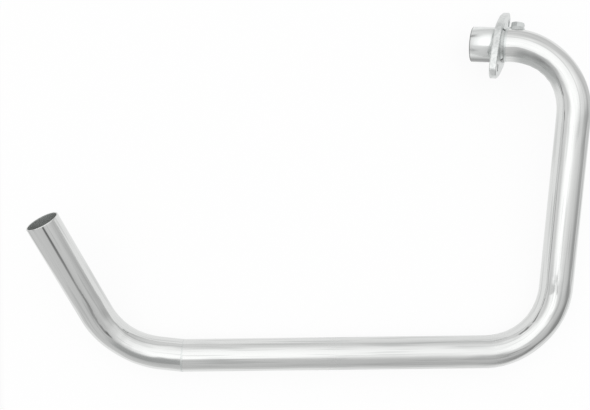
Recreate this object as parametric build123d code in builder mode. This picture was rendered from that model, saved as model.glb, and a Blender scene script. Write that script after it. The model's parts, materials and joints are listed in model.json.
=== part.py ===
"""Motorcycle exhaust header: a port flange on a bent steel pipe, lying as it comes to rest."""

import os
from math import cos, pi, radians, sin, sqrt, tan

from build123d import *

# Tube stock, in millimetres
tube_od = 38.1
tube_wall = 1.5

# Bend table of the pipe, from the lower front corner outwards
down_run = 352.4
down_lean = 4.1
down_rise = 7.92
elbow_radius = 76.0
elbow_lead = 4.5
lower_bend_radius = 82.5
under_run = 430.5
tail_lead = 77.9
tail_kink = 6.7
tail_bend_radius = 87.0
tail_run = 178.7
tail_turn = 66.0
tail_rise = 21.7

# How far the press draws in each side of the tube in the middle of a bend
elbow_draw = 1.5
lower_bend_draw = 1.0
tail_bend_draw = 1.3
draw_sections = 5

# Port spigot, turned with a collar in front of the flange and a neck through it
port_yaw = 6.6
port_pitch = 21.5
collar_step = 1.2
spigot_length = 28.0
spigot_edge = 0.8
neck_behind_flange = 4.0

# Port flange, a plate with two ears for the cylinder head's studs
flange_thickness = 8.0
flange_roll = 38.0
stud_spacing = 79.0
stud_hole = 8.6
ear_radius = 12.0
flange_waist_radius = 28.0
flange_shoulder_radius = 21.7
flange_edge = 0.7
flange_bore_gap = 0.1
weld_prep = 1.5

# Sensor boss on the outside of the top elbow
boss_sides = 6
boss_across_flats = 14.0
boss_height = 7.0
boss_chamfer = 1.2
boss_chamfer_taper = 60.0
boss_thread_minor = 9.0
boss_drill = 10.5
boss_bend_angle = 3.1
boss_lean = 12.0

# Weld beads
fillet_leg = 2.2
fillet_span = 136.0
boss_fillet = 1.8
boss_fillet_slope = 27.0
spigot_bead_width = 3.0
spigot_bead_height = 0.5
tail_bead_width = 4.0
tail_bead_height = 0.25

tube_radius = tube_od / 2
bore_radius = tube_radius - tube_wall
spigot_radius = tube_radius + collar_step


def heading(yaw, rise):
    """Unit vector at a yaw from +X in plan and a rise out of it, both in degrees."""
    flat = cos(radians(rise))
    return Vector(flat * cos(radians(yaw)), flat * sin(radians(yaw)), sin(radians(rise)))


def tangent_length(radius, before, after):
    """Length that a bend takes of the straight run on each side of its corner."""
    return radius * tan(radians(before.get_angle(after)) / 2)


# Corners of the centreline, with the under run along -X
up_the_down_run = heading(90 - down_lean, down_rise)
out_of_port = heading(-port_yaw, port_pitch)
along_under_run = Vector(-1, 0, 0)
along_tail_lead = heading(180 - tail_kink, 0)
along_tail = heading(180 - tail_turn, tail_rise)

low_corner = Vector(0, 0, tube_radius)
top_corner = low_corner + up_the_down_run * down_run
elbow_tangent = tangent_length(elbow_radius, out_of_port, -up_the_down_run)
pipe_start = top_corner - out_of_port * (elbow_tangent + elbow_lead)
flange_centre = pipe_start - out_of_port * (neck_behind_flange + flange_thickness / 2)
joint_centre = low_corner + along_under_run * under_run
tail_corner = joint_centre + along_tail_lead * tail_lead
tail_end = tail_corner + along_tail * tail_run

# The two tubes meet on a mitre plane whose normal halves the kink
mitre_normal = (along_under_run + along_tail_lead).normalized()
mitre_plane = Plane(joint_centre, x_dir=(0, 0, 1), z_dir=mitre_normal)
mitre_spare = tube_od

# The ears lie along x of the flange plane, and z points down the pipe
port_line = Axis((0, 0, 0), out_of_port)
level_ear = Vector(0, 0, 1).cross(out_of_port).normalized()
ear_direction = level_ear.rotate(port_line, -flange_roll)
upward_of_port = out_of_port.cross(level_ear)
flange_front = flange_centre - out_of_port * (flange_thickness / 2)
flange_back = flange_centre + out_of_port * (flange_thickness / 2)
flange_plane = Plane(flange_front, x_dir=ear_direction, z_dir=out_of_port)
flange_bore_radius = tube_radius + flange_bore_gap

# The boss stands on the outside of the elbow, leaning out of the plane of its bend
elbow_axis = out_of_port.cross(-up_the_down_run).normalized()
elbow_start = pipe_start + out_of_port * elbow_lead
elbow_inward = elbow_axis.cross(out_of_port)
elbow_centre = elbow_start + elbow_inward * elbow_radius
turn_to_boss = Axis((0, 0, 0), elbow_axis)
boss_outward = (-elbow_inward).rotate(turn_to_boss, boss_bend_angle)
boss_along = out_of_port.rotate(turn_to_boss, boss_bend_angle)
boss_root = elbow_centre + boss_outward * elbow_radius
boss_axis = boss_outward.rotate(Axis((0, 0, 0), boss_along), -boss_lean)
boss_plane = Plane(boss_root, x_dir=boss_along, z_dir=boss_axis)
boss_top = tube_radius + boss_height
boss_half_flats = boss_across_flats / 2
boss_corner_radius = boss_half_flats / cos(radians(180 / boss_sides))


def front_route():
    """Centreline of the front pipe, run on past the mitre."""
    past_mitre = joint_centre + along_under_run * mitre_spare
    bends = [elbow_radius, lower_bend_radius]
    return FilletPolyline(pipe_start, top_corner, low_corner, past_mitre, radius=bends)


def tail_route():
    """Centreline of the tail pipe, from before the mitre to the outlet."""
    before_mitre = joint_centre - along_tail_lead * mitre_spare
    return FilletPolyline(before_mitre, tail_corner, tail_end, radius=tail_bend_radius)


def run_rod(route, draws, radius, mode=Mode.ADD):
    """Rod along a route; each bend is drawn in across its plane, most at its middle."""
    bends = iter(draws)
    for run in Wire(route.edges()).order_edges():
        if run.geom_type == GeomType.LINE:
            with BuildSketch(Plane(run @ 0, z_dir=run % 0)) as disc:
                Circle(radius)
            extrude(disc.sketch, amount=run.length, mode=mode)
            continue
        draw = next(bends)
        ovals = []
        for number in range(draw_sections):
            share = number / (draw_sections - 1)
            with BuildSketch(Plane(run @ share, x_dir=run.normal(), z_dir=run % share)) as oval:
                Ellipse(radius, radius - draw * sin(pi * share) ** 2)
            ovals.append(oval.sketch)
        sweep(ovals, path=run, multisection=True, mode=mode)


def run_tube(route, draws):
    """Tube of the stock's wall along a route."""
    run_rod(route, draws, tube_radius)
    run_rod(route, draws, bore_radius, mode=Mode.SUBTRACT)


def bead_profile(plane, width, height):
    """Section of a butt weld: an arc as wide as the bead on the tube, sunk to mid-wall."""
    arc_radius = (width**2 / 4 + height**2) / (2 * height)
    root_depth = tube_wall / 2
    root_half = sqrt(arc_radius**2 - (arc_radius - height - root_depth) ** 2)
    root = tube_radius - root_depth
    with BuildSketch(plane) as profile:
        with BuildLine():
            ThreePointArc((-root_half, root), (0, tube_radius + height), (root_half, root))
            Line((root_half, root), (-root_half, root))
        make_face()
    return profile.sketch


# Front pipe: elbow, down run, lower bend and under run, drilled under the boss, wider than its thread
with BuildPart() as front_pipe:
    with BuildLine() as front_line:
        front_route()
    run_tube(front_line.line, [elbow_draw, lower_bend_draw])
    split(bisect_by=mitre_plane, keep=Keep.BOTTOM)
    with BuildSketch(boss_plane):
        Circle(boss_drill / 2)
    extrude(amount=boss_top, mode=Mode.SUBTRACT)
front_pipe.part.label = "front_pipe"

# Tail pipe: a short lead, one bend and the rising outlet
with BuildPart() as tail_pipe:
    with BuildLine() as tail_line:
        tail_route()
    run_tube(tail_line.line, [tail_bend_draw])
    split(bisect_by=mitre_plane, keep=Keep.TOP)
tail_pipe.part.label = "tail_pipe"

# Port spigot: collar up to the flange, then a neck of the tube's own section
with BuildPart() as port_spigot:
    with BuildSketch(flange_plane):
        Circle(spigot_radius)
    extrude(amount=-spigot_length)
    rims = port_spigot.edges().filter_by(GeomType.CIRCLE).sort_by(Axis(flange_front, out_of_port))
    chamfer(rims[0], spigot_edge)
    with BuildSketch(flange_plane):
        Circle(tube_radius)
    extrude(amount=flange_thickness + neck_behind_flange)
    with BuildSketch(flange_plane.offset(-spigot_length)):
        Circle(bore_radius)
    extrude(amount=spigot_length + flange_thickness + neck_behind_flange, mode=Mode.SUBTRACT)
port_spigot.part.label = "port_spigot"

# Port flange: hull of the waist, shoulders and ears, bored for the neck and drilled for the studs
with BuildPart() as port_flange:
    with BuildSketch(flange_plane):
        Circle(flange_waist_radius)
        with GridLocations(stud_spacing / 2, 0, 2, 1):
            Circle(flange_shoulder_radius)
        with GridLocations(stud_spacing, 0, 2, 1):
            Circle(ear_radius)
        make_hull()
    extrude(amount=flange_thickness)
    chamfer(port_flange.faces().filter_by(port_line).edges(), flange_edge)
    with BuildSketch(flange_plane):
        with GridLocations(stud_spacing, 0, 2, 1):
            Circle(stud_hole / 2)
    extrude(amount=flange_thickness, mode=Mode.SUBTRACT)
    with BuildSketch(flange_plane):
        Circle(flange_bore_radius)
    extrude(amount=flange_thickness, mode=Mode.SUBTRACT)
    bore_rims = port_flange.edges(Select.LAST).sort_by(Axis(flange_front, out_of_port))
    chamfer(bore_rims[-1], weld_prep)
port_flange.part.label = "port_flange"

# Flange welds: one run on the upper side and one on the lower, open at the ears
flange_welds = []
for side, middle in (("upper", 0), ("lower", 180)):
    with BuildPart() as flange_weld:
        run_start = upward_of_port.rotate(port_line, middle - fillet_span / 2)
        with BuildSketch(Plane(flange_back, x_dir=run_start, z_dir=run_start.cross(out_of_port))):
            Polygon(
                (tube_radius, -weld_prep),
                (flange_bore_radius, -weld_prep),
                (flange_bore_radius + weld_prep, 0),
                (tube_radius + fillet_leg, 0),
                (tube_radius, fillet_leg),
                align=None,
            )
        revolve(axis=Axis(flange_back, out_of_port), revolution_arc=fillet_span)
    flange_weld.part.label = f"flange_weld_{side}"
    flange_welds.append(flange_weld)

# Spigot weld: a raised bead where the neck meets the front pipe
with BuildPart() as spigot_weld:
    bead_plane = Plane(pipe_start, x_dir=out_of_port, z_dir=-level_ear)
    bead = bead_profile(bead_plane, spigot_bead_width, spigot_bead_height)
    revolve(bead, axis=Axis(pipe_start, out_of_port))
    add(front_pipe.part, mode=Mode.SUBTRACT)
    add(port_spigot.part, mode=Mode.SUBTRACT)
spigot_weld.part.label = "spigot_weld"

# Tail weld: a low bead along the mitre
with BuildPart() as tail_weld:
    bead_plane = Plane(joint_centre, x_dir=mitre_normal, z_dir=mitre_normal.cross(Vector(0, 0, 1)))
    bead = bead_profile(bead_plane, tail_bead_width, tail_bead_height)
    revolve(bead, axis=Axis(joint_centre, mitre_normal))
    add(front_pipe.part, mode=Mode.SUBTRACT)
    add(tail_pipe.part, mode=Mode.SUBTRACT)
tail_weld.part.label = "tail_weld"


def hexagon():
    """Section of the boss, with a flat towards the flange."""
    with BuildSketch(boss_plane) as outline:
        turn = 180 / boss_sides
        RegularPolygon(boss_half_flats, boss_sides, major_radius=False, rotation=turn)
    return outline.sketch


def cut_to_elbow():
    """Cut away the filled-in neck and elbow, to seat what is welded on their outside."""
    with BuildLine() as rod_line:
        FilletPolyline(flange_front, top_corner, low_corner, radius=elbow_radius)
    run_rod(rod_line.line, [elbow_draw], tube_radius, mode=Mode.SUBTRACT)


# Sensor boss: a hexagon saddled on the elbow, with its tapping hole
with BuildPart() as sensor_boss:
    extrude(hexagon(), amount=boss_top, dir=boss_axis)
    with BuildSketch(boss_plane.offset(boss_top)):
        Circle(boss_corner_radius - boss_chamfer)
    extrude(amount=-boss_top, taper=-boss_chamfer_taper, mode=Mode.INTERSECT)
    cut_to_elbow()
    with BuildSketch(boss_plane):
        Circle(boss_thread_minor / 2)
    extrude(amount=boss_top, mode=Mode.SUBTRACT)
sensor_boss.part.label = "sensor_boss"

# Boss weld: a cone round the hexagon, seated on the elbow
with BuildPart() as boss_weld:
    cone_height = tube_radius / 2 + boss_fillet
    with BuildSketch(boss_plane.offset(tube_radius / 2)):
        Circle(boss_corner_radius + cone_height * tan(radians(boss_fillet_slope)))
    extrude(amount=cone_height, taper=boss_fillet_slope)
    cut_to_elbow()
    extrude(hexagon(), amount=boss_top, dir=boss_axis, mode=Mode.SUBTRACT)
    add(spigot_weld.part, mode=Mode.SUBTRACT)
boss_weld.part.label = "boss_weld"

pieces = [
    port_spigot,
    port_flange,
    *flange_welds,
    spigot_weld,
    front_pipe,
    sensor_boss,
    boss_weld,
    tail_pipe,
    tail_weld,
]

# The origin is on the floor, under the middle of the header's box
box = Compound([solid for piece in pieces for solid in piece.part.solids()]).bounding_box()
to_floor = Location((-box.center().X, -box.center().Y, -box.min.Z))

os.makedirs("parts", exist_ok=True)
for piece in pieces:
    export_step(piece.part.moved(to_floor), f"parts/{piece.part.label}.step")
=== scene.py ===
"""Motorcycle exhaust header in polished stainless steel, lying on a white board in a studio."""

import json
import math

import bmesh
import bpy
from mathutils import Matrix, Vector


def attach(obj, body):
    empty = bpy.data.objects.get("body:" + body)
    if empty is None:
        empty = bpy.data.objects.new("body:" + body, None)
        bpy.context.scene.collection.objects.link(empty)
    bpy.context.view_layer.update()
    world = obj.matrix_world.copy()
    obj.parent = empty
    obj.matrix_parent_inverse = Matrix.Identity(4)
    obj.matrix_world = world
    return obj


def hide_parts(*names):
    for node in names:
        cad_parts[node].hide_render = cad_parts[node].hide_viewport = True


MM = 0.001

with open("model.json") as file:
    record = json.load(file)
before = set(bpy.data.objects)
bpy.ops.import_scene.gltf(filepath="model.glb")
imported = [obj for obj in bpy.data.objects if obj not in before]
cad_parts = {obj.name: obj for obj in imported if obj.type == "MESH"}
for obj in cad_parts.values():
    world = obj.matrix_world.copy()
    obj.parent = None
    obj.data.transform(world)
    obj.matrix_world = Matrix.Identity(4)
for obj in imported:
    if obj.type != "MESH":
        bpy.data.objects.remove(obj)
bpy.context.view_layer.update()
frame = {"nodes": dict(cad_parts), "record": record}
nodes = frame["nodes"]
mounts = {mount["name"]: mount for mount in frame["record"]["mounts"]}

# Bend table of the pipe
down_run = 352.4 * MM
down_lean = math.radians(4.1)
down_rise = math.radians(7.92)
elbow_radius = 76.0 * MM
lower_bend_radius = 82.5 * MM
under_run = 430.5 * MM
tail_lead = 77.9 * MM
tail_kink = math.radians(6.7)
tail_bend_radius = 87.0 * MM
tail_run = 178.7 * MM

# How far the press draws in each side of the tube in the middle of a bend
elbow_draw = 1.5 * MM
lower_bend_draw = 1.0 * MM
tail_bend_draw = 1.3 * MM

# Wrinkles on the insides of the bends, as a share of the draw, and how far past a bend its strain shows
wrinkle_pitch = 13.0 * MM
wrinkle_depth = 0.10
strain_reach = 50.0 * MM

# A darker, rougher grey patch on each tube: place along the tube, reach, side of the tube and spread about
# it
front_grey_patch = (52.0 * MM, 62.0 * MM, Vector((-0.40, -0.80, 0.45)), math.radians(72.0))
tail_grey_patch = (40.0 * MM, 74.0 * MM, Vector((0.0, -0.30, 0.95)), math.radians(18.0))
grey_patch_core_along = 0.4
grey_patch_core_around = 0.3

# Port end
spigot_length = 28.0 * MM
spigot_edge = 0.8 * MM
collar_corner = 0.12 * MM
neck_behind_flange = 4.0 * MM
flange_thickness = 8.0 * MM
flange_waist_radius = 28.0 * MM
flange_shoulder_radius = 21.7 * MM
ear_radius = 12.0 * MM
flange_edge = 1.3 * MM
flange_hole_edge = 0.3 * MM
flange_bore_gap = 0.1 * MM
flange_roll = math.radians(38.0)
boss_drill = 10.5 * MM
boss_drill_depth = 24.0 * MM

# Weld beads
fillet_leg = 2.2 * MM
fillet_span = math.radians(136.0)
fillet_swell = 0.25
spigot_bead_width = 3.0 * MM
spigot_bead_height = 0.12 * MM
tail_bead_width = 2.4 * MM
tail_bead_height = 0.06 * MM
bead_sink = 0.3 * MM
scale_pitch = 1.6 * MM
scale_depth = 0.25
scale_bow = 0.5

# Fineness of the meshes; the rim's points are shares of its rounding, forward and in
seam_limit = 0.001 * MM
tube_sides = 160
run_step = 6.0 * MM
bend_step = 2.5 * MM
seam_step = 0.4 * MM
rim_round = 0.4 * MM
rim_points = ((0.7, 0.3), (1.0, 1.0))
drill_sides = 48
turned_sides = 240
weld_sides = 480
bead_steps = 10
fillet_steps = 8
outline_steps = 240
hole_steps = 64
edge_steps = 6

tube_radius = mounts["outlet"]["dims"]["r_mm"] * MM
bore_radius = mounts["outlet_bore"]["dims"]["r_mm"] * MM
tube_wall = tube_radius - bore_radius
spigot_radius = mounts["port_spigot"]["dims"]["r_mm"] * MM
stud_circle = mounts["port_studs"]["dims"]["pcd_mm"] * MM / 2
stud_hole_radius = mounts["port_studs"]["dims"]["hole_r_mm"] * MM


def place(name):
    """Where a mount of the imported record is, and the way it faces."""
    return Vector(mounts[name]["pos_m"]), Vector(mounts[name]["axis"]).normalized()


def heading(yaw, rise):
    """Unit vector at a yaw from +X in plan and a rise out of it, both in radians."""
    return Vector((math.cos(rise) * math.cos(yaw), math.cos(rise) * math.sin(yaw), math.sin(rise)))


def square_to(direction, towards):
    """The part of a vector that is square to a direction, as a unit vector."""
    return (towards - direction * towards.dot(direction)).normalized()


def fade(value, full, none):
    """One up to the first value, nought from the second on, smooth between them."""
    share = min(1.0, max(0.0, (none - value) / (none - full)))
    return share * share * (3 - 2 * share)


# Corners of the centreline, worked back from the outlet
upward = Vector((0, 0, 1))
outlet_middle, along_tail = place("outlet")
flange_centre, into_port = place("port_studs")
out_of_port = -into_port
tail_end = outlet_middle + along_tail * (mounts["outlet"]["dims"]["length_mm"] * MM / 2)
tail_corner = tail_end - along_tail * tail_run
along_tail_lead = heading(math.pi - tail_kink, 0)
along_under_run = Vector((-1, 0, 0))
joint_centre = tail_corner - along_tail_lead * tail_lead
mitre_normal = (along_under_run + along_tail_lead).normalized()
low_corner = joint_centre - along_under_run * under_run
top_corner = low_corner + heading(math.pi / 2 - down_lean, down_rise) * down_run
flange_front = flange_centre - out_of_port * flange_thickness / 2
flange_back = flange_centre + out_of_port * flange_thickness / 2
neck_end = flange_thickness + neck_behind_flange
pipe_start = flange_back + out_of_port * neck_behind_flange
level_ear = upward.cross(out_of_port).normalized()
ear_direction = Matrix.Rotation(-flange_roll, 3, out_of_port) @ level_ear
upward_of_port = out_of_port.cross(level_ear)


def finished_piece(mesh, work, node_name):
    """A smooth-shaded closed mesh that stands for one CAD node of the one body."""
    bmesh.ops.recalc_face_normals(work, faces=work.faces)
    work.to_mesh(mesh)
    work.free()
    mesh.shade_smooth()
    piece = bpy.data.objects.new(mesh.name, mesh)
    bpy.context.scene.collection.objects.link(piece)
    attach(piece, "root")
    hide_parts(node_name)
    return piece


def skinned_piece(name, vertices, faces, node_name, layers):
    """A piece made of rows of vertices, with layers of coordinates on its skin and its seam closed."""
    mesh = bpy.data.meshes.new(name)
    mesh.from_pydata([tuple(vertex) for vertex in vertices], [], faces)
    for layer_name, pairs in layers.items():
        layer = mesh.uv_layers.new(name=layer_name)
        for loop in mesh.loops:
            layer.data[loop.index].uv = pairs[loop.vertex_index]
    work = bmesh.new()
    work.from_mesh(mesh)
    bmesh.ops.remove_doubles(work, verts=work.verts, dist=seam_limit)
    return finished_piece(mesh, work, node_name)


def stations_along(corners, bend_radii, draws):
    """Points along a centreline of runs and arcs: place, heading, way in and draw of the bend."""
    stations = []
    start = corners[0]
    nowhere = Vector((0, 0, 0))
    for corner, after, radius, draw in zip(corners[1:-1], corners[2:], bend_radii, draws):
        ahead = (corner - start).normalized()
        onward = (after - corner).normalized()
        turn = ahead.angle(onward)
        tangent = radius * math.tan(turn / 2)
        bend_start = corner - ahead * tangent
        count = max(2, round((bend_start - start).length / run_step))
        stations += [(start.lerp(bend_start, i / count), ahead, nowhere, 0.0) for i in range(count)]
        axis = ahead.cross(onward).normalized()
        inward = axis.cross(ahead)
        centre = bend_start + inward * radius
        count = max(2, round(radius * turn / bend_step))
        for i in range(count):
            spin = Matrix.Rotation(turn * i / count, 3, axis)
            drawn = draw * math.sin(math.pi * i / count) ** 2
            stations.append((centre - spin @ inward * radius, spin @ ahead, spin @ inward, drawn))
        start = corner + onward * tangent
    ahead = (corners[-1] - start).normalized()
    count = max(2, round((corners[-1] - start).length / run_step))
    stations += [(start.lerp(corners[-1], i / count), ahead, nowhere, 0.0) for i in range(count + 1)]
    return stations


def walls_along(stations, open_end):
    """The stations with close ones by the tube's ends, a side carried without twist and the way gone."""
    start, ahead, inward, drawn = stations[0]
    stations.insert(1, (start + ahead * seam_step, ahead, inward, drawn))
    end, ahead, inward, drawn = stations[-1]
    if open_end:
        stations.pop()
        for back in (3 * rim_round, rim_round):
            stations.append((end - ahead * back, ahead, inward, drawn))
    else:
        stations.insert(-1, (end - ahead * seam_step, ahead, inward, drawn))
    side = square_to(stations[0][1], upward)
    walls = []
    before = stations[0]
    travelled = 0.0
    for station in stations:
        side = before[1].rotation_difference(station[1]) @ side
        travelled += (station[0] - before[0]).length
        walls.append((*station, side.copy(), travelled))
        before = station
    return walls


def bent_tube(name, corners, bend_radii, draws, grey_patch, node_name, open_end=False):
    """A tube swept with no twist: outer skin, rim and bore, mitred where the two tubes meet."""
    patch_middle, patch_reach, patch_faces, patch_spread = grey_patch
    walls = walls_along(stations_along(corners, bend_radii, draws), open_end)
    bent = [travelled for _, _, inward, _, _, travelled in walls if inward.length > 0]
    rings = [(wall, 0.0, tube_radius) for wall in walls]
    if open_end:
        rounding = [(rim_round * forward, rim_round * inset) for forward, inset in rim_points]
        rings += [(walls[-1], forward, tube_radius - inset) for forward, inset in rounding]
        rings += [(walls[-1], forward, bore_radius + inset) for forward, inset in reversed(rounding)]
    outside = len(rings)
    rings += [(wall, 0.0, bore_radius) for wall in reversed(walls)]
    vertices, uvs, strains = [], [], []
    for (point, ahead, inward, drawn, side, travelled), forward, radius in rings:
        across = ahead.cross(side)
        wrinkle = wrinkle_depth * drawn * math.sin(2 * math.pi * travelled / wrinkle_pitch)
        strain = fade(min(abs(travelled - there) for there in bent), 0.0, strain_reach)
        patch_here = fade(abs(travelled - patch_middle), grey_patch_core_along * patch_reach, patch_reach)
        for i in range(tube_sides + 1):
            turn = 2 * math.pi * i / tube_sides
            way = side * math.cos(turn) + across * math.sin(turn)
            pinch = way.dot(inward)
            vertex = point + ahead * forward + way * radius - inward * pinch * drawn
            vertex += way * wrinkle * max(0.0, pinch) ** 2
            if (point - joint_centre).length < bend_step / 2:
                vertex -= ahead * (vertex - point).dot(mitre_normal) / ahead.dot(mitre_normal)
            vertices.append(vertex)
            uvs.append((turn * tube_radius, travelled))
            patch = fade(way.angle(patch_faces), grey_patch_core_around * patch_spread, patch_spread)
            strains.append((strain, patch * patch_here))
    row = tube_sides + 1
    faces = []
    for ring in range(len(rings)):
        onward = (ring + 1) % len(rings)
        for i in range(tube_sides):
            faces.append((ring * row + i, ring * row + i + 1, onward * row + i + 1, onward * row + i))
    layers = {"around_and_along": uvs, "strain_and_patch": strains}
    piece = skinned_piece(name, vertices, faces, node_name, layers)
    for number, face in enumerate(piece.data.polygons):
        face.material_index = int(outside - 1 <= number // tube_sides < len(rings) - 1)
    return piece


front_tube = bent_tube(
    "front_tube",
    [pipe_start, top_corner, low_corner, joint_centre],
    [elbow_radius, lower_bend_radius],
    [elbow_draw, lower_bend_draw],
    front_grey_patch,
    "front_pipe",
)
tail_tube = bent_tube(
    "tail_tube",
    [joint_centre, tail_corner, tail_end],
    [tail_bend_radius],
    [tail_bend_draw],
    tail_grey_patch,
    "tail_pipe",
    open_end=True,
)


def drill(piece, centre, axis, radius, depth):
    """Cut a round hole through a mesh, half the depth to each side of a centre."""
    seat = Matrix.Translation(centre) @ upward.rotation_difference(axis).to_matrix().to_4x4()
    size = {"segments": drill_sides, "radius1": radius, "radius2": radius, "depth": depth}
    work = bmesh.new()
    bmesh.ops.create_cone(work, cap_ends=True, matrix=seat, **size)
    mesh = bpy.data.meshes.new("drill")
    work.to_mesh(mesh)
    work.free()
    bit = bpy.data.objects.new("drill", mesh)
    bpy.context.scene.collection.objects.link(bit)
    cut = piece.modifiers.new("hole", "BOOLEAN")
    cut.operation = "DIFFERENCE"
    cut.object = bit
    bpy.context.view_layer.objects.active = piece
    bpy.ops.object.modifier_apply(modifier=cut.name)
    bpy.data.objects.remove(bit)
    bpy.data.meshes.remove(mesh)


# Hole through the tube under the sensor boss
boss_centre, boss_axis = place("sensor_hole")
drill(front_tube, boss_centre, boss_axis, boss_drill / 2, boss_drill_depth)


def turned(name, base, axis, start, section, node_name, span=2 * math.pi, sides=turned_sides):
    """Turn a closed section of (out, along, scales) points about an axis, all round or over a span."""
    across = axis.cross(start)
    scales_in_span = round(span * tube_radius / scale_pitch)
    vertices, uvs = [], []
    for step in range(sides + 1):
        turn = span * step / sides
        way = start * math.cos(turn) + across * math.sin(turn)
        run = 0.0
        for number, (out, along, scales) in enumerate(section):
            if number:
                run += math.dist((out, along), section[number - 1][:2])
            beat = (scales_in_span * (step / sides) + scale_bow * (along / scale_pitch) ** 2) % 1.0
            out -= scales * (1 - math.sqrt(beat)) * scale_depth
            vertices.append(base + way * out + axis * along)
            uvs.append((turn * tube_radius, run))
    row = len(section)
    faces = []
    for step in range(sides):
        for i in range(row):
            j = (i + 1) % row
            faces.append((step * row + i, step * row + j, (step + 1) * row + j, (step + 1) * row + i))
    if span < 2 * math.pi:
        faces.append(tuple(range(row)))
        faces.append(tuple(sides * row + i for i in reversed(range(row))))
    return skinned_piece(name, vertices, faces, node_name, {"around_and_along": uvs})


# Turned spigot: the neck, then the collar with its broken edge
spigot_section = [
    (bore_radius, neck_end),
    (tube_radius, neck_end),
    (tube_radius, 0.0),
    (spigot_radius - collar_corner, 0.0),
    (spigot_radius, -collar_corner),
    (spigot_radius, -spigot_length / 2),
    (spigot_radius, -spigot_length + spigot_edge + collar_corner),
    (spigot_radius - collar_corner, -spigot_length + spigot_edge - collar_corner),
    (spigot_radius - spigot_edge + collar_corner, -spigot_length + collar_corner),
    (spigot_radius - spigot_edge - collar_corner, -spigot_length),
    (bore_radius + collar_corner, -spigot_length),
    (bore_radius, -spigot_length + collar_corner),
]
spigot = turned(
    "turned_spigot",
    flange_front,
    out_of_port,
    ear_direction,
    [(out, along, 0.0) for out, along in spigot_section],
    "port_spigot",
)


def bead_section(width, height):
    """Section of a butt bead: an arc over the tube, its foot sunk in the tube's wall."""
    crown = []
    for step in range(bead_steps + 1):
        along = width * (step / bead_steps - 0.5)
        rise = height * (1 - (2 * along / width) ** 2)
        crown.append((tube_radius + rise, along, rise))
    foot = tube_radius - bead_sink
    return [(foot, -width / 2, 0.0), *crown, (foot, width / 2, 0.0)]


def fillet_section():
    """Section of a fillet run: a sloping face from plate to tube, its foot sunk in the tube's wall."""
    slope = []
    for step in range(fillet_steps + 1):
        share = step / fillet_steps
        swell = fillet_swell * fillet_leg * math.sin(math.pi * share)
        slope.append((tube_radius + fillet_leg * (1 - share), fillet_leg * share, swell))
    foot = tube_radius - bead_sink
    return [(foot, 0.0, 0.0), *slope, (foot, fillet_leg, 0.0)]


spigot_bead = turned(
    "spigot_bead",
    pipe_start,
    out_of_port,
    ear_direction,
    bead_section(spigot_bead_width, spigot_bead_height),
    "spigot_weld",
    sides=weld_sides,
)
tail_bead = turned(
    "tail_bead",
    joint_centre,
    mitre_normal,
    square_to(mitre_normal, upward),
    bead_section(tail_bead_width, tail_bead_height),
    "tail_weld",
    sides=weld_sides,
)
fillet_runs = []
for side_name, middle in (("upper", 0.0), ("lower", math.pi)):
    run_start = Matrix.Rotation(middle - fillet_span / 2, 3, out_of_port) @ upward_of_port
    fillet_runs.append(
        turned(
            f"flange_fillet_{side_name}",
            flange_back,
            out_of_port,
            run_start,
            fillet_section(),
            f"flange_weld_{side_name}",
            span=fillet_span,
            sides=weld_sides // 2,
        )
    )

# The flange's outline is the hull of five discs, and it has three round holes
flange_discs = [(0.0, flange_waist_radius)]
flange_holes = [(0.0, tube_radius + flange_bore_gap)]
for sign in (-1, 1):
    flange_discs.append((sign * stud_circle / 2, flange_shoulder_radius))
    flange_discs.append((sign * stud_circle, ear_radius))
    flange_holes.append((sign * stud_circle, stud_hole_radius))


def flange_outline(inset):
    """Boundary of the hull of the flange's discs, drawn in by an inset."""
    points = []
    for step in range(outline_steps):
        turn = 2 * math.pi * (step + 0.5) / outline_steps
        x, radius = max(flange_discs, key=lambda disc: disc[0] * math.cos(turn) + disc[1])
        points.append((x + (radius - inset) * math.cos(turn), (radius - inset) * math.sin(turn)))
    return points


def hole_outline(x, radius):
    """A round hole in the flange."""
    turns = [2 * math.pi * step / hole_steps for step in range(hole_steps)]
    return [(x + radius * math.cos(turn), radius * math.sin(turn)) for turn in turns]


def drilled_plate():
    """The flange: rounded edges, two stud holes and the bore, with flat faces filled between them."""
    sideways = out_of_port.cross(ear_direction)
    work = bmesh.new()

    def add_ring(points, depth):
        """A ring of vertices at a depth into the plate."""
        centre = flange_front + out_of_port * depth
        return [work.verts.new(centre + ear_direction * x + sideways * y) for x, y in points]

    rounds = [math.pi / 2 * step / edge_steps for step in range(edge_steps + 1)]
    front = [(flange_edge * (1 - math.sin(a)), flange_edge * (1 - math.cos(a))) for a in rounds]
    back = [(inset, flange_thickness - depth) for inset, depth in reversed(front)]
    loops = [[add_ring(flange_outline(inset), depth) for inset, depth in front + back]]
    hole_front = [(flange_hole_edge, 0.0), (0.0, flange_hole_edge)]
    hole_back = [(wider, flange_thickness - depth) for wider, depth in reversed(hole_front)]
    for x, radius in flange_holes:
        depths = hole_front + hole_back
        loops.append([add_ring(hole_outline(x, radius + wider), depth) for wider, depth in depths])
    for rings in loops:
        for first, second in zip(rings, rings[1:]):
            for i in range(len(first)):
                j = (i + 1) % len(first)
                work.faces.new((first[i], first[j], second[j], second[i]))
    for end in (0, -1):
        border = []
        for rings in loops:
            ring = rings[end]
            border += [work.edges.get((ring[i - 1], ring[i])) for i in range(len(ring))]
        bmesh.ops.triangle_fill(work, use_beauty=True, edges=border)
    mesh = bpy.data.meshes.new("flange_plate")
    piece = finished_piece(mesh, work, "port_flange")
    piece.modifiers.new("flat_faces", "WEIGHTED_NORMAL").keep_sharp = True
    return piece


flange = drilled_plate()

# Most of a noise lies between these values
noise_low = 0.3
noise_high = 0.7


def to_linear(code):
    """An sRGB hex colour as linear RGBA."""
    channels = [int(code[i : i + 2], 16) / 255 for i in (1, 3, 5)]
    lights = [c / 12.92 if c <= 0.04045 else ((c + 0.055) / 1.055) ** 2.4 for c in channels]
    return (*lights, 1.0)


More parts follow.
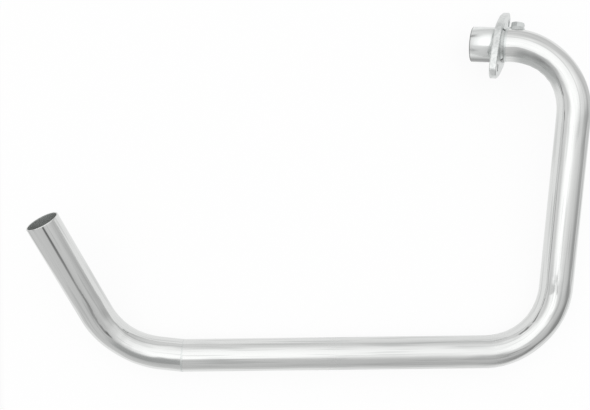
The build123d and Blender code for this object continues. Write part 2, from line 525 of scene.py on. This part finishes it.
def add_node(tree, kind, inputs=(), **settings):
    """Add a node with its settings, give its inputs values or links, and return its outputs."""
    node = tree.nodes.new("ShaderNode" + kind)
    for name, value in settings.items():
        setattr(node, name, value)
    named = inputs.items() if isinstance(inputs, dict) else enumerate(inputs)
    for name, value in named:
        if isinstance(value, bpy.types.NodeSocket):
            tree.links.new(value, node.inputs[name])
        else:
            node.inputs[name].default_value = value
    return node.outputs


def new_material(name):
    """An empty node material and its tree."""
    material = bpy.data.materials.new(name)
    material.use_nodes = True
    material.node_tree.nodes.clear()
    return material, material.node_tree


def grain(tree, where, size, detail):
    """Noise whose grain has the given size along each axis of a coordinate."""
    spread = add_node(tree, "Mapping", {"Vector": where, "Scale": [1 / length for length in size]})[0]
    return add_node(tree, "TexNoise", {"Vector": spread, "Scale": 1.0, "Detail": detail})["Fac"]


def steel(tree, colour, height, strength, depth, roughness):
    """A steel surface: its colour, its relief as a height map with a depth, and its roughness."""
    relief = {"Height": height, "Strength": strength, "Distance": depth}
    normal = add_node(tree, "Bump", relief)["Normal"]
    finish = {"Base Color": colour, "Metallic": 1.0, "Roughness": roughness, "Normal": normal}
    shader = add_node(tree, "BsdfPrincipled", finish)["BSDF"]
    add_node(tree, "OutputMaterial", {"Surface": shader})


# Polished stainless tube, buffed lengthways: a mirror with faint streaks, wavy where it was bent
buffed_roughness = (0.045, 0.09)
satin_roughness = 0.24
satin_start = (400 * MM, 440 * MM)
satin_end = (610 * MM, 700 * MM)
grey_patch_roughness = 0.20
grey_patch_raggedness = 0.8
grey_patch_edge = (0.55, 1.25)
smear_edge = (0.54, 0.66)
smear_dullness = 0.42
wave_depth = 2.0 * MM
wave_share_straight = 0.03
wave_share_bent = 0.53
polished_steel, tree = new_material("mirror_buffed_stainless_tube")
where = add_node(tree, "UVMap", uv_map="around_and_along")["UV"]
marks = add_node(tree, "UVMap", uv_map="strain_and_patch")["UV"]
marks = add_node(tree, "SeparateXYZ", [marks])
run = add_node(tree, "SeparateXYZ", [where])["Y"]
# The buff's streaks are finer than this on the real tube, and are drawn wide enough to show
streaks = grain(tree, where, (0.8 * MM, 60 * MM, MM), detail=3.0)
waves = grain(tree, where, (11 * MM, 38 * MM, MM), detail=1.0)
ragged = grain(tree, where, (5 * MM, 16 * MM, MM), detail=3.0)
swell = add_node(tree, "MapRange", [marks["X"], 0.0, 1.0, wave_share_straight, wave_share_bent])[0]
waves = add_node(tree, "Math", [waves, swell], operation="MULTIPLY")[0]
# Dull grey and rougher, in a patch with a ragged edge
patch = add_node(tree, "Math", [ragged, grey_patch_raggedness, marks["Y"]], operation="MULTIPLY_ADD")[0]
patch = add_node(tree, "MapRange", [patch, *grey_patch_edge])[0]
patch = add_node(tree, "Math", [patch, marks["Y"]], operation="MULTIPLY")[0]
# Satin in the middle of the under run
satin_in = add_node(tree, "MapRange", [run, *satin_start, 0.0, 1.0])[0]
satin_out = add_node(tree, "MapRange", [run, *satin_end, 1.0, 0.0])[0]
satin = add_node(tree, "Math", [satin_in, satin_out], operation="MULTIPLY")[0]
rough = add_node(tree, "MapRange", [streaks, noise_low, noise_high, *buffed_roughness])[0]
for finish, added_roughness in ((satin, satin_roughness), (patch, grey_patch_roughness)):
    rough = add_node(tree, "Math", [finish, added_roughness, rough], operation="MULTIPLY_ADD")[0]
# Long faint grey smears left by the buff
smears = grain(tree, where, (2.4 * MM, 100 * MM, MM), detail=1.0)
smears = add_node(tree, "MapRange", [smears, *smear_edge, 0.0, smear_dullness])[0]
dull = add_node(tree, "Math", [patch, smears], operation="MAXIMUM")[0]
shades = {"Factor": dull, "A": to_linear("#DCDDDC"), "B": to_linear("#B2B4B3")}
tint = add_node(tree, "Mix", shades, data_type="RGBA")["Result"]
steel(tree, tint, waves, strength=1.0, depth=wave_depth, roughness=rough)

# Inside of the tube as drawn: dull grey, brushed lengthways by the plug
bore_roughness = (0.62, 0.74)
bore_steel, tree = new_material("drawn_stainless_bore")
where = add_node(tree, "UVMap", uv_map="around_and_along")["UV"]
lines = grain(tree, where, (0.6 * MM, 25 * MM, MM), detail=3.0)
rough = add_node(tree, "MapRange", [lines, noise_low, noise_high, *bore_roughness])[0]
steel(tree, to_linear("#B6B9B7"), lines, strength=0.6, depth=0.02 * MM, roughness=rough)

# Turned stainless collar: bright, with fine rings left by the tool, a painted dark reflection round its end
# edge and painted shade along its underside
collar_roughness = (0.17, 0.27)
underside_shade_darkest = 0.40
underside_shade_edge = (7 * MM, 14 * MM)
collar_edge_reflection_darkest = 0.35
collar_edge_reflection_width = (0.8 * MM, 1.6 * MM)
turned_steel, tree = new_material("fine_turned_stainless_collar")
where = add_node(tree, "UVMap", uv_map="around_and_along")["UV"]
split = add_node(tree, "SeparateXYZ", [where])
rings = grain(tree, where, (90 * MM, 0.25 * MM, MM), detail=2.0)
smears = grain(tree, where, (9 * MM, 6 * MM, MM), detail=3.0)
underside = (math.pi + flange_roll) * tube_radius
collar_end = tube_wall + neck_end + spigot_radius - tube_radius + spigot_length
unshaded = 1.0
# Painted shade along the underside, standing in for the shadowed floor it reflects, and a painted dark
# reflection round the end edge
for value, middle, darkest, edge in (
    (split["X"], underside, underside_shade_darkest, underside_shade_edge),
    (split["Y"], collar_end, collar_edge_reflection_darkest, collar_edge_reflection_width),
):
    away = add_node(tree, "Math", [value, middle], operation="SUBTRACT")[0]
    away = add_node(tree, "Math", [away], operation="ABSOLUTE")[0]
    light = add_node(tree, "MapRange", [away, *edge, darkest, 1.0])[0]
    unshaded = add_node(tree, "Math", [unshaded, light], operation="MULTIPLY")[0]
shades = {"Factor": unshaded, "A": to_linear("#000000"), "B": to_linear("#E6E8E7")}
tint = add_node(tree, "Mix", shades, data_type="RGBA")["Result"]
rough = add_node(tree, "MapRange", [smears, noise_low, noise_high, *collar_roughness])[0]
steel(tree, tint, rings, strength=0.5, depth=0.004 * MM, roughness=rough)

# Cut stainless plate, lightly blasted: pale, matte and mottled
plate_roughness = (0.28, 0.42)
plate_mottling = (0.35, 0.62)
plate_steel, tree = new_material("bead_blasted_stainless_plate")
where = add_node(tree, "TexCoord")["Object"]
mottle = grain(tree, where, (3 * MM, 3 * MM, 3 * MM), detail=4.0)
pits = grain(tree, where, (0.5 * MM, 0.5 * MM, 0.5 * MM), detail=2.0)
pale = add_node(tree, "MapRange", [mottle, *plate_mottling])[0]
shades = {"Factor": pale, "A": to_linear("#CFD2D1"), "B": to_linear("#E6E8E7")}
tint = add_node(tree, "Mix", shades, data_type="RGBA")["Result"]
rough = add_node(tree, "MapRange", [mottle, noise_low, noise_high, *plate_roughness])[0]
steel(tree, tint, pits, strength=0.7, depth=0.03 * MM, roughness=rough)

# Milled stainless hexagon: satin flats with faint cutter marks
boss_roughness = (0.36, 0.48)
boss_steel, tree = new_material("milled_stainless_hexagon")
where = add_node(tree, "TexCoord")["Object"]
cuts = grain(tree, where, (0.5 * MM, 4 * MM, 0.5 * MM), detail=2.0)
rough = add_node(tree, "MapRange", [cuts, noise_low, noise_high, *boss_roughness])[0]
steel(tree, to_linear("#CFD2D1"), cuts, strength=0.6, depth=0.01 * MM, roughness=rough)

# Weld beads brushed clean: satin with a fine grain
weld_roughness = (0.22, 0.36)
weld_relief = 0.015 * MM
weld_steel, tree = new_material("brushed_stainless_weld")
where = add_node(tree, "TexCoord")["Object"]
speckle = grain(tree, where, (0.6 * MM, 0.6 * MM, 0.6 * MM), detail=3.0)
rough = add_node(tree, "MapRange", [speckle, noise_low, noise_high, *weld_roughness])[0]
steel(tree, to_linear("#D4D7D6"), speckle, strength=0.5, depth=weld_relief, roughness=rough)

# Fillet runs behind the flange: the same brushed weld, with painted black shade near each end, where the
# crevice between plate and tube shows dark
crevice_shade_turns = (math.radians(21.0), math.radians(134.0))
crevice_shade_half = 0.9 * MM
crevice_shade_edge = 0.6 * MM
crevice_shade_darkest = 0.04
fillet_steel, tree = new_material("brushed_stainless_fillet")
where = add_node(tree, "UVMap", uv_map="around_and_along")["UV"]
around = add_node(tree, "SeparateXYZ", [where])["X"]
speckle = grain(tree, where, (0.6 * MM, 0.6 * MM, MM), detail=3.0)
unshaded = 1.0
# Painted shade: a near-black spot at each crevice between plate and tube
for crevice_shade_turn in crevice_shade_turns:
    away = add_node(tree, "Math", [around, crevice_shade_turn * tube_radius], operation="SUBTRACT")[0]
    away = add_node(tree, "Math", [away], operation="ABSOLUTE")[0]
    light = add_node(tree, "MapRange", [away, crevice_shade_half, crevice_shade_half + crevice_shade_edge, crevice_shade_darkest, 1.0])[0]
    unshaded = add_node(tree, "Math", [unshaded, light], operation="MULTIPLY")[0]
shades = {"Factor": unshaded, "A": to_linear("#000000"), "B": to_linear("#DCDFDE")}
tint = add_node(tree, "Mix", shades, data_type="RGBA")["Result"]
rough = add_node(tree, "MapRange", [speckle, noise_low, noise_high, *weld_roughness])[0]
steel(tree, tint, speckle, strength=0.5, depth=weld_relief, roughness=rough)

for piece in (front_tube, tail_tube):
    piece.data.materials.append(polished_steel)
    piece.data.materials.append(bore_steel)
spigot.data.materials.append(turned_steel)
flange.data.materials.append(plate_steel)
for piece in (spigot_bead, tail_bead):
    piece.data.materials.append(weld_steel)
for piece in fillet_runs:
    piece.data.materials.append(fillet_steel)
for name, material in (("sensor_boss", boss_steel), ("boss_weld", weld_steel)):
    nodes[name].data.materials.clear()
    nodes[name].data.materials.append(material)

# White board on a grey studio floor, which shows white and keeps a faint shadow of the pipe
floor_half = 4.0
board_half_length = 0.37
board_half_width = 0.27
board_edge = 0.06
shown_white = 0.90
floor_corners = [(x * floor_half, y * floor_half, 0.0) for x, y in ((-1, -1), (1, -1), (1, 1), (-1, 1))]
floor_mesh = bpy.data.meshes.new("studio_floor")
floor_mesh.from_pydata(floor_corners, [], [(0, 1, 2, 3)])
floor = bpy.data.objects.new("studio_floor", floor_mesh)
bpy.context.scene.collection.objects.link(floor)
board, tree = new_material("white_board_on_grey_floor")
spot = add_node(tree, "NewGeometry")["Position"]
split = add_node(tree, "SeparateXYZ", [spot])
cover = 1.0
for value, half in ((split["X"], board_half_length), (split["Y"], board_half_width)):
    away = add_node(tree, "Math", [value], operation="ABSOLUTE")[0]
    inside = add_node(tree, "MapRange", [away, half, half + board_edge, 1.0, 0.0])[0]
    cover = add_node(tree, "Math", [cover, inside], operation="MULTIPLY")[0]
shades = {"Factor": cover, "A": to_linear("#DFDFDF"), "B": to_linear("#FFFFFF")}
tone = add_node(tree, "Mix", shades, data_type="RGBA")["Result"]
path = add_node(tree, "LightPath")
seen = 0.0
for ray in ("Is Camera Ray", "Is Glossy Ray", "Is Transmission Ray"):
    seen = add_node(tree, "Math", [seen, path[ray]], operation="MAXIMUM")[0]
shown = add_node(tree, "Math", [seen, shown_white], operation="MULTIPLY")[0]
matte = add_node(tree, "BsdfDiffuse", {"Color": tone})["BSDF"]
white = add_node(tree, "Emission", {"Color": tone, "Strength": 1.0})["Emission"]
surface = add_node(tree, "MixShader", [shown, matte, white])["Shader"]
add_node(tree, "OutputMaterial", {"Surface": surface})
floor.data.materials.append(board)

# Studio: a grey room, seen by direction, and on the plane of a ceiling one metre up
room_level = 0.726
room_slope = (-0.104, 0.094, 0.031)
lowest_height = 0.03
world = bpy.data.worlds.new("studio")
bpy.context.scene.world = world
world.use_nodes = True
studio = world.node_tree
studio.nodes.clear()
look = add_node(studio, "TexCoord")["Generated"]
split = add_node(studio, "SeparateXYZ", [look])
height = add_node(studio, "Math", [split["Z"], lowest_height], operation="MAXIMUM")[0]
along = add_node(studio, "Math", [split["X"], height], operation="DIVIDE")[0]
aside = add_node(studio, "Math", [split["Y"], height], operation="DIVIDE")[0]
slope = add_node(studio, "VectorMath", [look, room_slope], operation="DOT_PRODUCT")["Value"]
level = add_node(studio, "Math", [slope, room_level], operation="ADD")[0]


def inside_edges(strength, edges):
    """A strength kept inside soft edges, each given by a value, where it is nought and where it is full."""
    for value, nought, full in edges:
        edge = add_node(studio, "MapRange", [value, nought, full], interpolation_type="SMOOTHSTEP")[0]
        strength = add_node(studio, "Math", [strength, edge], operation="MULTIPLY")[0]
    return strength


# One wide softbox overhead, whose near edge is sharp on the left and soft on the right
softbox_level = 0.80
softbox_left = (-1.75, -0.30)
softbox_right = (5.72, -2.28)
softbox_far = (2.72, -0.567)
near_edge_place = -0.333
near_edge_slant = 0.30
near_edge_softness = 0.225
near_edge_softening = 0.85
sharpest = 0.03
nearby = add_node(studio, "Clamp", [along, -1.0, 1.0])[0]
rightward = add_node(studio, "Math", [nearby, 0.0], operation="MAXIMUM")[0]
near = [rightward, near_edge_slant, near_edge_place]
near = add_node(studio, "Math", near, operation="MULTIPLY_ADD")[0]
soft = [nearby, near_edge_softening, near_edge_softness]
soft = add_node(studio, "Math", soft, operation="MULTIPLY_ADD")[0]
soft = add_node(studio, "Math", [soft, sharpest], operation="MAXIMUM")[0]
near_from = add_node(studio, "Math", [near, soft], operation="SUBTRACT")[0]
near_to = add_node(studio, "Math", [near, soft], operation="ADD")[0]
softbox_edges = [
    (along, *softbox_left),
    (along, *softbox_right),
    (aside, near_from, near_to),
    (aside, *softbox_far),
]
softbox = inside_edges(softbox_level, softbox_edges)
level = add_node(studio, "Math", [level, softbox], operation="ADD")[0]

# A dark stand leg beside the softbox, thinner towards its foot, seen as a streak along the tail
stand_top = Vector((0.385, -0.585, 0.0))
stand_foot = Vector((0.09, -1.06, 0.0))
stand_half_top = 0.17
stand_half_foot = 0.06
stand_depth_top = 0.85
stand_depth_foot = 0.23
stand_core = 0.3
stand_top_edge = (0.0, 0.09)
stand_foot_edge = (0.12, -0.05)
stand_length = (stand_foot - stand_top).length
stand_way = (stand_foot - stand_top).normalized()
stand_aside = Vector((-stand_way.y, stand_way.x, 0.0))
spot = add_node(studio, "CombineXYZ", [along, aside])[0]
spot = add_node(studio, "VectorMath", [spot, stand_top], operation="SUBTRACT")[0]
reach = add_node(studio, "VectorMath", [spot, stand_way], operation="DOT_PRODUCT")["Value"]
miss = add_node(studio, "VectorMath", [spot, stand_aside], operation="DOT_PRODUCT")["Value"]
miss = add_node(studio, "Math", [miss], operation="ABSOLUTE")[0]
half = add_node(studio, "MapRange", [reach, 0.0, stand_length, stand_half_top, stand_half_foot])[0]
core = add_node(studio, "Math", [half, stand_core], operation="MULTIPLY")[0]
depth = add_node(studio, "MapRange", [reach, 0.0, stand_length, stand_depth_top, stand_depth_foot])[0]
stand_edges = [
    (miss, half, core),
    (reach, *stand_top_edge),
    (reach, *(stand_length + past for past in stand_foot_edge)),
]
stand = inside_edges(depth, stand_edges)

# Dark clutter low along the left wall, ragged, seen as streaks on the insides of the bends
clutter_depth = 0.6
clutter_height = 0.25
clutter_climb = 0.16
clutter_half = 0.08
clutter_widening = 0.10
clutter_core = 0.4
clutter_raggedness = 0.24
clutter_start = (-1.3, -0.9)
clutter_end = (0.95, 0.70)
clutter_gaps = (0.34, 0.46)
clutter_tufts = (1 / 7, 1 / 7, 1 / 7)
clutter_patches = (1 / 3.5, 1 / 3.5, 1 / 3.5)
ragged = grain(studio, look, clutter_tufts, detail=3.0)
patchy = grain(studio, look, clutter_patches, detail=1.0)
leftward = add_node(studio, "VectorMath", [look, (-1.0, -1.0, 1.0)], operation="MULTIPLY")[0]
leftward = add_node(studio, "SeparateXYZ", [leftward])
bearing = add_node(studio, "Math", [leftward["Y"], leftward["X"]], operation="ARCTAN2")[0]
bearing_size = add_node(studio, "Math", [bearing], operation="ABSOLUTE")[0]
bearing_square = add_node(studio, "Math", [bearing, bearing], operation="MULTIPLY")[0]
uneven = [ragged, clutter_raggedness, -clutter_raggedness / 2]
uneven = add_node(studio, "Math", uneven, operation="MULTIPLY_ADD")[0]
tall = add_node(studio, "Math", [split["Z"]], operation="ARCSINE")[0]
tall = add_node(studio, "Math", [tall, uneven], operation="ADD")[0]
middle = [bearing_square, clutter_climb, clutter_height]
middle = add_node(studio, "Math", middle, operation="MULTIPLY_ADD")[0]
half = [bearing_size, clutter_widening, clutter_half]
half = add_node(studio, "Math", half, operation="MULTIPLY_ADD")[0]
core = add_node(studio, "Math", [half, clutter_core], operation="MULTIPLY")[0]
miss = add_node(studio, "Math", [tall, middle], operation="SUBTRACT")[0]
miss = add_node(studio, "Math", [miss], operation="ABSOLUTE")[0]
clutter_edges = [
    (miss, half, core),
    (bearing, *clutter_start),
    (bearing, *clutter_end),
    (patchy, *clutter_gaps),
]
clutter = inside_edges(clutter_depth, clutter_edges)

# A dim corner low on the right, which greys the outside of the lower bend
corner_depth = 0.45
corner_turn = math.radians(-42.0)
corner_side = (0.95, 0.15)
corner_top = (0.62, 0.20)
bearing = add_node(studio, "Math", [split["Y"], split["X"]], operation="ARCTAN2")[0]
miss = add_node(studio, "Math", [bearing, corner_turn], operation="SUBTRACT")[0]
miss = add_node(studio, "Math", [miss], operation="ABSOLUTE")[0]
corner = inside_edges(corner_depth, [(miss, *corner_side), (split["Z"], *corner_top)])

for shadow in (stand, clutter, corner):
    left = add_node(studio, "Math", [1.0, shadow], operation="SUBTRACT")[0]
    level = add_node(studio, "Math", [level, left], operation="MULTIPLY")[0]
background = add_node(studio, "Background", {"Color": to_linear("#FFFFFF"), "Strength": level})[0]
add_node(studio, "OutputWorld", {"Surface": background})

# Camera straight above, turned a little with the frame of the picture
camera_place = Vector((-19.94, -15.01, 1019.30)) * MM
camera_roll = math.radians(-0.692)
picture_width = 590
focal_pixels = 850.0
camera_data = bpy.data.cameras.new("overhead_camera")
camera_data.sensor_width = 36.0
camera_data.lens = focal_pixels / picture_width * camera_data.sensor_width
camera = bpy.data.objects.new("overhead_camera", camera_data)
camera.location = camera_place
camera.rotation_euler = (0, 0, camera_roll)
bpy.context.scene.collection.objects.link(camera)
bpy.context.scene.camera = camera

bpy.context.scene.view_settings.view_transform = "Standard"
